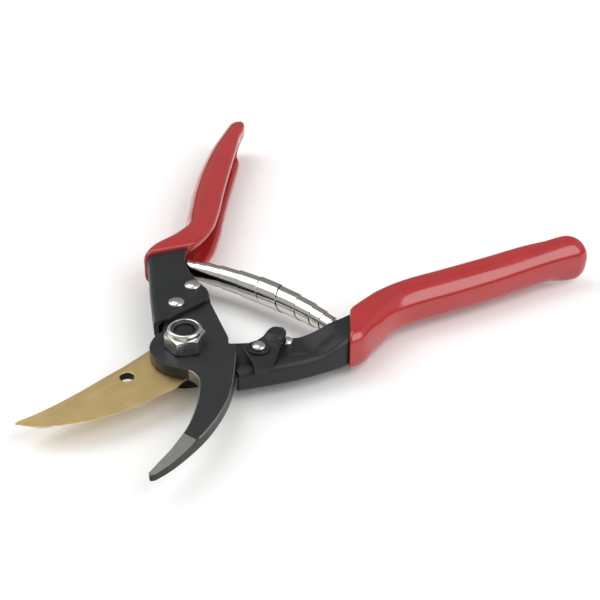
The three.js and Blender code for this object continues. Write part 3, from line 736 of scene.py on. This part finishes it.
class SHEARS_OT_hook(bpy.types.Operator):
    """Blanks and grinds the hooked counter blade"""
    bl_idname = "shears.hook"
    bl_label = "Counter blade"

    def execute(self, context):
        colours = context.scene.shears_colours
        size = sizes_mm()
        line = outline(
            (10.5, -7.3),
            ("curve", (12.3, -3.4), (12.7, 1.5), (11.6, 5.4), (8.6, 9.5)),
            ("curve", (5.7, 11.5), (2.3, 12.9), (-1.8, 13.5), (-4.7, 14.1), (-7, 15.4), (-9.1, 17.8),
             (-10.3, 21.4)),
            ("curve", (-11.7, 29), (-12.1, 37.7), (-11.6, 46), (-9.5, 55.4), (-7, 62.2), (-4.9, 67.8)),
            ("curve", (-5.6, 68.9), (-7.2, 68.3)),
            ("curve", (-10.9, 63.1), (-14.9, 55.2), (-18.6, 45.6), (-21, 35), (-21.9, 24), (-20.9, 13),
             (-19.2, 3)),
            ("curve", (-18.3, -2.2), (-16.6, -4.2), (-14.6, -4.8)),
            ("line", (-13.8, -8.2), (-2.6, -27.9), (-0.6, -33.5)),
            ("curve", (1.6, -37.4), (5.4, -39.4), (9.5, -38.4), (12.4, -34.6)),
            ("line", (13.2, -24), (11.2, -13.5)))
        paint = satin_paint("satin_black_enamel_on_hook", colours.hook_paint)
        ground = brushed_metal("ground_steel", colours.ground, 0.4, TURN["hook_half"] + math.pi / 2,
                               line_mm=0.3, length_mm=5)
        dark = brushed_metal("scaled_steel", colours.scale, 0.42, TURN["hook_half"] + math.pi / 2,
                             line_mm=0.5, length_mm=4)

        def wall(point, level):
            if point.x > -12 and 14.1 < point.y < 60:  # the throat and the inside of the arm
                return 1
            if point.x < -10 and point.y > 1:  # the back of the arm: a bright strip under its top edge
                return 1 if level < 0.5 and point.y < 50 else 2
            return 0
        made = plate("counter_blade", line, [BOLT_HOLE], *HOOK_Z, size["edge_round"],
                     [paint, ground, dark], side=wall, top=0, bottom=1)
        # The facet on top of the point is ground at a slope from a slanted line out to the tip.
        slope = math.atan((HOOK_Z[1] - HOOK_Z[0] - size["hook_tip"]) / 18)
        up = Matrix.Rotation(-0.47, 3, "Z") @ Matrix.Rotation(-slope, 3, "X") @ Vector((0, 0, 1))
        work = bmesh.new()
        work.from_mesh(made.data)
        geometry = work.verts[:] + work.edges[:] + work.faces[:]
        cut = bmesh.ops.bisect_plane(work, geom=geometry, plane_co=(-14.6, 49.5, HOOK_Z[1]),
                                     plane_no=up, clear_outer=True)
        edges = [e for e in cut["geom_cut"] if isinstance(e, bmesh.types.BMEdge)]
        filled = bmesh.ops.contextual_create(work, geom=edges)
        for face in filled["faces"]:
            face.material_index = 1
        work.to_mesh(made.data)
        work.free()
        tidy_mesh(made.data, 28)
        place(made, "hook_half", "hook_black", "hook_blade")
        return {"FINISHED"}


class SHEARS_OT_blade(bpy.types.Operator):
    """Blanks, grinds and brushes the cutting blade"""
    bl_idname = "shears.blade"
    bl_label = "Cutting blade"

    def execute(self, context):
        colours = context.scene.shears_colours
        size = sizes_mm()
        edge = [(-5.7, 67.6), (-9.4, 63.4), (-12.9, 57), (-15.3, 49.5), (-17, 41.5), (-17.3, 33),
                (-16.8, 25), (-15.6, 17.4)]
        line = outline(
            (9.9, 9.6),
            ("curve", (5.9, 20.7), (2.9, 31), (-0.1, 41), (-2.6, 51), (-4.2, 60), (-4.9, 66.4)),
            ("line", edge[0]),
            ("curve", *edge[1:]),
            ("curve", (-14.8, 11.4), (-12.5, 6.6), (-12, 1), (-13.6, -5), (-16.9, -11)),
            ("curve", (-21.4, -19), (-21.9, -29), (-18.6, -36.6), (-13.4, -39.2), (-9.6, -36.4)),
            ("line", (-4.6, -24.2), (-0.9, -17)),
            ("curve", (3.4, -13.4), (8.2, -10), (11.8, -5), (12.8, 0.4), (12, 5.2)))

        def sharpened(p):
            """How much of the bevel stands at a point of the outline."""
            if p.x > -5.2 and p.y > 20:
                share = smooth((p.y - 56) / 9)
                width = min(1.1, 0.05 + 0.2 * (68 - p.y))
            elif p.x > -5.2 or p.y < 0:
                return (0.0, 0.0, size["land"])
            else:
                share = smooth(p.y / 5)
                width = min(size["bevel"], 0.05 + 0.3 * (68 - p.y))
            return (share, width * share, size["land"])
        gold = brushed_metal("brushed_titanium_nitride", colours.gold, 0.4,
                             TURN["blade_half"] + math.radians(103), line_mm=0.28, length_mm=22, depth=0.3)
        tang = satin_paint("satin_black_enamel", colours.paint)
        # The wall of the blade's hole gets this black paint as painted shade, so the hole looks dark.
        hole_shade_paint = satin_paint("black_oxide_and_hole_shade", colours.oxide)
        made = plate("cutting_blade_body", line, [BOLT_HOLE, BLADE_HOLE], *BLADE_Z, 0.2,
                     [gold, tang, hole_shade_paint], ground=[sharpened(p) for p in line])
        # The point is ground thin from below.
        for vertex in made.data.vertices:
            depth = BLADE_Z[1] - vertex.co.z
            vertex.co.z = BLADE_Z[1] - depth * (1 - 0.8 * smooth((vertex.co.y - 57) / 10))
        # The coating ends below the boss: the tang is painted with the handle.
        work = bmesh.new()
        work.from_mesh(made.data)
        bmesh.ops.bisect_plane(work, geom=work.verts[:] + work.edges[:] + work.faces[:],
                               plane_co=(0, TANG_FROM, 0), plane_no=(0, 1, 0))
        hole_x, hole_y, hole_radius = BLADE_HOLE
        for face in work.faces:
            centre = face.calc_center_median()
            from_hole = math.hypot(centre.x - hole_x, centre.y - hole_y)
            # Faces of the hole's wall take the black paint: painted shade inside the hole.
            wall_of_hole = abs(face.normal.z) < 0.5 and from_hole < hole_radius + 0.2
            face.material_index = 1 if centre.y < TANG_FROM else 2 if wall_of_hole else 0
        work.to_mesh(made.data)
        work.free()
        tidy_mesh(made.data)
        place(made, "blade_half", "blade_gold", "cutting_blade")
        return {"FINISHED"}


class SHEARS_OT_channels(bpy.types.Operator):
    """Bends the two channels of the handles"""
    bl_idname = "shears.channels"
    bl_label = "Channels of the handles"

    def execute(self, context):
        colours = context.scene.shears_colours
        size = sizes_mm()
        paint = satin_paint("satin_black_enamel", colours.paint)
        rubbed = satin_paint("rubbed_black_enamel", colours.paint, worn=0.12)
        inside = (GRIP_Z[0] + size["coat_outside"], GRIP_Z[1] - size["coat_outside"])
        stock = 0.2 + size["sheet"]
        hook_heights = (HOOK_Z[0] - stock, HOOK_Z[1] + stock)
        rib = 1.9
        blade_heights = (BLADE_Z[0] - stock, BLADE_Z[1] + stock + rib)
        self.bend_one("hook_half", "channel_of_hook", HOOK_BACK, HOOK_EDGE, hook_heights, inside,
                      -10.4, None, size, [paint, rubbed], "hook_handle_channel")
        dish_at = along(DISH_EDGE)

        def dish(point):
            """How far the flange lies below the rib."""
            depth = rib * (1 - widened(point.y))
            return depth * smooth((dish_at(point.y) + 0.5 - point.x) / 1.8)
        self.bend_one("blade_half", "channel_of_blade", BLADE_BACK, BLADE_EDGE, blade_heights, inside,
                      -9.3, dish, size, [paint, rubbed], "blade_handle_channel")
        return {"FINISHED"}

    def bend_one(self, body, name, back, edge, heights, inside, front, sag, size, materials, node):
        back_at = along(leaned(back, LEAN[body]))
        edge_at = along(leaned(edge, LEAN[body]))
        stations = spread(front, -20, 24)[:-1] + spread(-20, -64, 46)[:-1] + spread(-64, HANDLE_END, 40)
        sections = []
        for y in stations:
            low, high = (mix(h, i, widened(y)) for h, i in zip(heights, inside))
            far = back_at(y)
            near = min(edge_at(y), far - 2.6)
            outer, inner = channel_path(far - near, low, high, size["sheet"], size["bend"], 0.35)
            # The metal gives way a little sooner than the coat over it.
            sections.append(((far, y), (near, y),
                             *(drawn_back(part, y - 4, 0.8) for part in (outer, inner))))
        made = sweep_channel(name, sections, materials, sag, mirror=body == "blade_half", cap_material=1)
        place(made, body, "paint_black", node)


class SHEARS_OT_grips(bpy.types.Operator):
    """Dips the two vinyl grips"""
    bl_idname = "shears.grips"
    bl_label = "Dipped grips"

    def execute(self, context):
        colours = context.scene.shears_colours
        size = sizes_mm()
        vinyl = dipped_vinyl("dipped_red_vinyl", colours.vinyl)
        for body, name, node in (("hook_half", "grip_of_hook", "hook_handle_grip"),
                                 ("blade_half", "grip_of_blade", "blade_handle_grip")):
            self.dip(body, name, node, vinyl, size)
        return {"FINISHED"}

    def dip(self, body, name, node, vinyl, size):
        coat = size["coat_outside"]
        wall = coat + size["sheet"] + size["coat_inside"]
        lean = LEAN[body]
        back_at = along(leaned(HOOK_BACK if body == "hook_half" else BLADE_BACK, lean))
        edge_at = along(leaned(HOOK_LOWER_EDGE if body == "hook_half" else BLADE_LOWER_EDGE, lean))
        # The dipping line slants across the shoulder, and the stations straighten up below it.
        ends = [(y, y - 10.2 * (1 - smooth((-50 - y) / 34))) for y in
                [*spread(-50, -53, 9)[:-1], *spread(-53, -84, 26)[:-1], *spread(-84, -157, 40)]]
        back_line = [Vector((back_at(y) + coat, y)) for y, _ in ends]
        edge_line = [Vector((edge_at(y) - coat - 0.9 * smooth((-148 - y) / 8), y)) for _, y in ends]
        sections = []
        low, high = GRIP_Z
        for i, (b, e) in enumerate(zip(back_line, edge_line)):
            # The coat starts with a rounded rim.
            rim = math.sqrt(1 - (1 - i / 5) ** 2) if i < 5 else 1
            thin = coat * 0.8 * (1 - rim)
            across = (e - b).normalized()
            hollow = 1 - smooth((-b.y - 142) / 7)
            bend = mix(4.2, size["grip_round"], smooth((-b.y - 52) / 14)) - thin
            # Near the spring's seat there is hardly any vinyl inside the channel.
            wall_here = wall - (size["coat_inside"] - 0.1) * (1 - smooth((-b.y - 68) / 10))
            outer, inner = channel_path((e - b).length - 2 * thin, low + thin, high - thin,
                                        wall_here - thin, bend, wall * 0.42, size["crown"], hollow)
            sections.append((b + across * thin, e - across * thin,
                             *(drawn_back(part, b.y, 0.72) for part in (outer, inner))))
        # The end is drawn in to a round nose.
        start = (back_line[-1] + edge_line[-1]) / 2
        half = (back_line[-1] - edge_line[-1]).length / 2
        tall = (high - low) / 2
        across = (edge_line[-1] - back_line[-1]).normalized()
        for k in range(1, 15):
            a = math.pi / 2 * k / 14.3
            half_now, tall_now = half * math.cos(a) ** 0.75, tall * math.cos(a) ** 0.55
            middle = start + Vector((NOSE[body], GRIP_END - start.y)) * math.sin(a)
            outer, inner = channel_path(2 * half_now, MID_Z - tall_now, MID_Z + tall_now, wall,
                                        min(size["grip_round"], tall_now * 0.95),
                                        min(wall * 0.42, tall_now * 0.4), size["crown"] * math.cos(a), 0.0)
            sections.append((middle - across * half_now, middle + across * half_now,
                             *(drawn_back(part, middle.y, 0.72) for part in (outer, inner))))
        made = sweep_channel(name, sections, [vinyl], mirror=body == "blade_half")
        place(made, body, "vinyl_red", node)


# The hexagons of the nut and of the bolt's head
HEX_HALF = 6.5  # half of the 13 mm across the flats
HEX_CORNER = 7.42  # the corners are broken a little
HEX_FACE = 6.45  # radius where the flat face ends and the chamfer starts
HEX_WALL = 7.0  # in a profile this radius stands for the six-sided wall
HEX_CHAMFER = 0.62  # fall of the chamfer for each millimetre outwards
NUT_TURN = math.radians(15.5)
HEAD_TURN = math.radians(5.5)


class SHEARS_OT_pivot(bpy.types.Operator):
    """Turns the pivot bolt, its washer and the lock nut"""
    bl_idname = "shears.pivot"
    bl_label = "Pivot bolt and lock nut"

    def execute(self, context):
        colours = context.scene.shears_colours
        zinc = bright_zinc()
        oxide = satin_paint("black_oxide_and_hole_shade", colours.oxide)
        nylon = moulded_nylon("moulded_nylon", colours.nylon)

        def hexagon(r, a):
            """Radius at an angle: round up to the face's edge, and six-sided beyond it."""
            if r <= HEX_FACE:
                return r
            flat = HEX_HALF / math.cos((a + math.pi / 6) % (math.pi / 3) - math.pi / 6)
            share = (r - HEX_FACE) / (HEX_WALL - HEX_FACE)
            return mix(HEX_FACE, min(flat, HEX_CORNER), share)

        low, high = NUT_Z
        deck = low + 5.8
        profile = [(4.2, low + 0.4), (4.5, low), (6.2, low), (HEX_FACE, low + 0.03)]
        profile += [(HEX_WALL, low + 0.45), (HEX_WALL, deck - 0.45), (HEX_FACE, deck - 0.02),
                    (6.25, deck), (6.1, deck + 0.12), (6.1, high - 0.9)]
        profile += [(6.1 - 0.9 * (1 - math.cos(t)), high - 0.9 + 0.9 * math.sin(t))
                    for t in (math.pi / 2 * k / 6 for k in range(1, 7))]
        profile += [(4.95, high - 0.15), (4.85, high - 0.5), (4.85, high - 1.7), (4.2, high - 1.8)]

        def conical(r, z, a):
            shaped = hexagon(r, a)
            if r == HEX_WALL:
                # The chamfer is a cone, so it bites deeper into the corners than into the flats.
                bite = (shaped - HEX_FACE) * HEX_CHAMFER
                z = low + bite if z < (low + deck) / 2 else deck - bite
            return shaped, z
        nut = turned("lock_nut_body", profile, [zinc], 144, conical, closed=True)
        place(nut, "hook_half", "zinc_bright", "lock_nut", turn=NUT_TURN)

        ring = turned("nylon_insert", [(3.9, high - 1.75), (4.8, high - 1.75), (4.8, high - 0.75),
                                       (4.6, high - 0.6), (4.1, high - 0.62), (3.9, high - 0.8)],
                      [nylon], 64, closed=True)
        place(ring, "hook_half", "nylon_grey", "nut_nylon_ring")

        # The bolt: a chamfered hexagon below, and a threaded end with a cone.
        head_top = 4.9
        pitch = 1.25
        profile = [(0.02, 0.25), (2.8, 0.25), (3.1, 0), (6.0, 0), (HEX_FACE, 0.04), (HEX_WALL, 0.4),
                   (HEX_WALL, head_top - 0.02), (6.5, head_top), (4.0, head_top)]
        thread_from = head_top + 7
        profile.append((4.0, thread_from))
        z = thread_from
        while z < BOLT_Z[1] - 1.5:
            profile += [(3.45, z + pitch * 0.5), (3.95, z + pitch)]
            z += pitch
        profile += [(3.1, BOLT_Z[1] - 0.15), (2.9, BOLT_Z[1]), (0.02, BOLT_Z[1])]

        def head(r, z, a):
            if z > head_top:
                return r, z
            shaped = hexagon(r, a)
            return shaped, ((shaped - HEX_FACE) * HEX_CHAMFER if r == HEX_WALL and z < 1 else z)
        bolt = turned("pivot_bolt_body", profile, [oxide], 96, head)
        place(bolt, "hook_half", "bolt_black", "pivot_bolt", turn=HEAD_TURN)

        low = low_of("bolt_washer")
        high = top_of("bolt_washer")
        washer = turned("pivot_washer", [(4.2, low), (7.7, low), (8, low + 0.3), (8, high - 0.3),
                                         (7.7, high), (4.2, high)], [oxide], 96, closed=True)
        place(washer, "hook_half", "bolt_black", "bolt_washer")
        return {"FINISHED"}


def rivet_profile(low, high, radius, height, shank=2.0):
    """A rivet with a low dome at each end, from the bottom to the top."""
    dome = [(radius * math.cos(a), height * (0.22 + 0.78 * math.sin(a))) for a in
            (math.pi / 2 * k / 8 for k in range(8))] + [(0.01, height)]
    below = [(r, low - z) for r, z in dome[::-1]] + [(radius, low)]
    above = [(radius, high)] + [(r, high + z) for r, z in dome]
    return below + [(shank, low), (shank, high)] + above


class SHEARS_OT_rivets(bpy.types.Operator):
    """Sets the rivets of both tangs"""
    bl_idname = "shears.rivets"
    bl_label = "Tang rivets"

    def execute(self, context):
        zinc = bright_zinc()
        for place_at, name, node in zip(HOOK_RIVETS, ("front_hook_rivet", "rear_hook_rivet"),
                                        ("hook_rivet_front", "hook_rivet_rear")):
            low, high = low_of(node) + 1.5, top_of(node) - 1.5
            made = turned(name, rivet_profile(low, high, 3.05, 1.5), [zinc], 48, centre=place_at)
            place(made, "hook_half", "zinc_bright", node)
        low, high = low_of("blade_rivet") + 1.8, top_of("blade_rivet") - 1.8
        made = turned("rear_blade_rivet", rivet_profile(low, high, 2.45, 1.8), [zinc], 48,
                      centre=BLADE_RIVET)
        place(made, "blade_half", "zinc_bright", "blade_rivet")
        return {"FINISHED"}


class SHEARS_OT_latch(bpy.types.Operator):
    """Stamps the latch and sets its rivet, washer and spacer"""
    bl_idname = "shears.latch"
    bl_label = "Thumb latch"

    def execute(self, context):
        colours = context.scene.shears_colours
        zinc = bright_zinc()
        paint = satin_paint("satin_black_enamel", colours.paint)
        oxide = satin_paint("black_oxide_and_hole_shade", colours.oxide)
        thick = 1.5
        line = outline(
            (-14.2, -15.7),
            ("curve", (-12.3, -17), (-11.5, -20), (-11.5, -23.4), (-10.2, -27.3),
             (-8.8, -30.4), (-8.5, -33), (-9.9, -34.5)),
            ("curve", (-12.6, -34.1), (-15, -32.3), (-17.2, -29.4), (-20.4, -26.9), (-23.4, -24.3),
             (-26.2, -21.6)),
            ("line", (-29.2, -17.6), (-28.4, -15.4), (-27.6, -12.9)),
            ("curve", (-25, -14.1), (-21.5, -15), (-17.5, -15.4)), per=6)
        made = plate("latch_body", line, [(*LATCH_AT, 2.25)], LATCH_Z, LATCH_Z + thick, 0.3, [paint])
        made.data.transform(Matrix.Scale(MM, 4))
        remesh = made.modifiers.new("even", "REMESH")
        remesh.mode = "VOXEL"
        remesh.voxel_size = 0.28 * MM
        apply_modifiers(made)
        made.data.transform(Matrix.Scale(1 / MM, 4))
        # The thumb pad is pressed up into a dome, beyond a low step.
        pad = Vector((-11.9, -29.9))
        for vertex in made.data.vertices:
            p = Vector((vertex.co.x, vertex.co.y))
            along_lever = (p - Vector(LATCH_AT)).dot((pad - Vector(LATCH_AT)).normalized())
            lift = 0.3 * smooth((along_lever - 3.6) / 2.4)
            dome = max(0.0, 1 - ((p - pad).length / 4.6) ** 2)
            vertex.co.z += lift + 1.2 * smooth(dome * 1.2)
        smoothing = made.modifiers.new("smooth", "SMOOTH")
        smoothing.iterations = 3
        smoothing.factor = 0.5
        apply_modifiers(made)
        made.data.polygons.foreach_set("use_smooth", [True] * len(made.data.polygons))
        made.data.materials.clear()
        made.data.materials.append(paint)
        place(made, "latch", "paint_black", "latch_lever")

        node = "latch_rivet"
        low, high = low_of(node) + 1.3, top_of(node) - 1.3
        rivet = turned("latch_rivet_body", rivet_profile(low, high, 2.5, 1.3), [zinc], 48, centre=LATCH_AT)
        place(rivet, "blade_half", "zinc_bright", node)
        for name, node, radius in (("latch_washer_body", "latch_washer", 4.0),
                                   ("latch_spacer_body", "latch_spacer", 3.6)):
            low, high = low_of(node), top_of(node)
            ring = turned(name, [(2.3, low), (radius - 0.2, low), (radius, low + 0.2),
                                 (radius, high - 0.2), (radius - 0.2, high), (2.3, high)],
                          [oxide], 48, centre=LATCH_AT, closed=True)
            place(ring, "blade_half", "paint_black", node)
        return {"FINISHED"}


class SHEARS_OT_spring(bpy.types.Operator):
    """Winds the double volute spring and sets its pegs"""
    bl_idname = "shears.spring"
    bl_label = "Volute spring"

    def execute(self, context):
        colours = context.scene.shears_colours
        size = sizes_mm()
        nickel = plated_metal("polished_nickel_plate", colours.nickel, 0.11, grain_mm=6, depth=0.0)
        zinc = bright_zinc()
        seat = Vector(JOINTS["spring_swing"]["pos_m"]) / MM
        chord = 2 * seat.x
        bow = 7.4  # the spring arches this far towards the handles' ends
        end_angle = 2 * math.atan(2 * bow / chord)
        radius_of_bow = chord / (2 * math.sin(end_angle))
        length = 2 * radius_of_bow * end_angle

        def at(distance):
            """Point on the bow and the way out of it, at a distance from the hook's seat."""
            angle = end_angle - distance / radius_of_bow
            out = Vector((math.sin(angle), -math.cos(angle), 0))
            centre = Vector((seat.x - chord / 2, seat.y + radius_of_bow * math.cos(end_angle), seat.z))
            return centre + out * radius_of_bow, out

        turns, steps, band = 14, 48, size["band"]
        middle_pitch = band + 0.3
        margin = 0.6  # the strip's ends stay this far off the seats
        end_pitch = (length - 2 * margin - band - 4 * middle_pitch) / (turns - 4)
        half = size["strip"] / 2
        vertices, faces = [], []
        step_out = 0.4  # radius gained on each turn
        end_radius = 2.2
        first_angle = 0.6  # where the strip's end lies
        start = margin
        for i in range(turns * steps + 1):
            angle = 2 * math.pi * i / steps + first_angle
            from_middle = abs(i / steps - turns / 2)
            radius = end_radius + step_out * (turns / 2 - from_middle)
            share = max(0.0, min(1.0, (from_middle - 1) / 2))
            pitch = mix(middle_pitch, end_pitch, share)
            # Each lap flares just enough to slip over the next smaller one.
            flare = (step_out - size["strip"] * 1.2) / pitch * (1 if i < turns * steps / 2 else -1)
            for along_band, r in ((0.0, -half), (0.0, half * 0.4), (0.12, half), (band - 0.12, half),
                                  (band, half * 0.4), (band, -half)):
                point, out = at(start + along_band)
                r += radius + flare * (along_band - band / 2)
                vertices.append(point + out * r * math.cos(angle) + Vector((0, 0, r * math.sin(angle))))
            start += pitch / steps
        count = 6
        for i in range(turns * steps):
            for j in range(count):
                a, b = i * count + j, i * count + (j + 1) % count
                faces.append((a, b, b + count, a + count))
        last = turns * steps * count
        faces += [tuple(range(count)), tuple(last + j for j in range(count))]
        made = make_object("volute", vertices, faces, [nickel], angle=18)
        place(made, "spring", "spring_nickel", "volute_spring", turn=0)
        # The chord between the seats shortens as the jaws close.
        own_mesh(made)

        for body, name, node, side in (("hook_half", "hook_peg", "hook_spring_peg", 1),
                                       ("blade_half", "blade_peg", "blade_spring_peg", -1)):
            peg = turned(name, [(0.01, -1.2), (1.15, -1.2), (1.15, 1.3), (0.95, 1.5), (0.01, 1.5)],
                         [zinc], 32)
            aim = Vector((-side * math.cos(end_angle), -math.sin(end_angle), 0))
            turn = Vector((0, 0, 1)).rotation_difference(aim).to_matrix().to_4x4()
            where = Matrix.Translation((side * seat.x, seat.y, seat.z))
            peg.data.transform(where @ turn)
            place(peg, body, "zinc_bright", node, turn=0)
        return {"FINISHED"}


class SHEARS_PT_panel(bpy.types.Panel):
    """Lists the sizes, the colours and the steps"""
    bl_label = "Pruning Shears"
    bl_idname = "SHEARS_PT_panel"
    bl_space_type = "VIEW_3D"
    bl_region_type = "UI"
    bl_category = "Shears"

    def draw(self, context):
        for group in (context.scene.shears_sizes, context.scene.shears_colours):
            box = self.layout.box()
            for key in group.bl_rna.properties.keys():
                if key not in ("rna_type", "name"):
                    box.prop(group, key)
        for step in STEPS:
            self.layout.operator(step.bl_idname)


STEPS = [SHEARS_OT_stage, SHEARS_OT_hook, SHEARS_OT_blade, SHEARS_OT_channels, SHEARS_OT_grips,
         SHEARS_OT_pivot, SHEARS_OT_rivets, SHEARS_OT_latch, SHEARS_OT_spring]
CLASSES = [ShearsSizes, ShearsColours, *STEPS, SHEARS_PT_panel]


def register():
    for cls in CLASSES:
        bpy.utils.register_class(cls)
    bpy.types.Scene.shears_sizes = bpy.props.PointerProperty(type=ShearsSizes)
    bpy.types.Scene.shears_colours = bpy.props.PointerProperty(type=ShearsColours)


def unregister():
    del bpy.types.Scene.shears_colours
    del bpy.types.Scene.shears_sizes
    for cls in reversed(CLASSES):
        bpy.utils.unregister_class(cls)


def main():
    register()
    for step in STEPS:
        group, name = step.bl_idname.split(".")
        getattr(getattr(bpy.ops, group), name)()


if __name__ == "__main__":
    main()
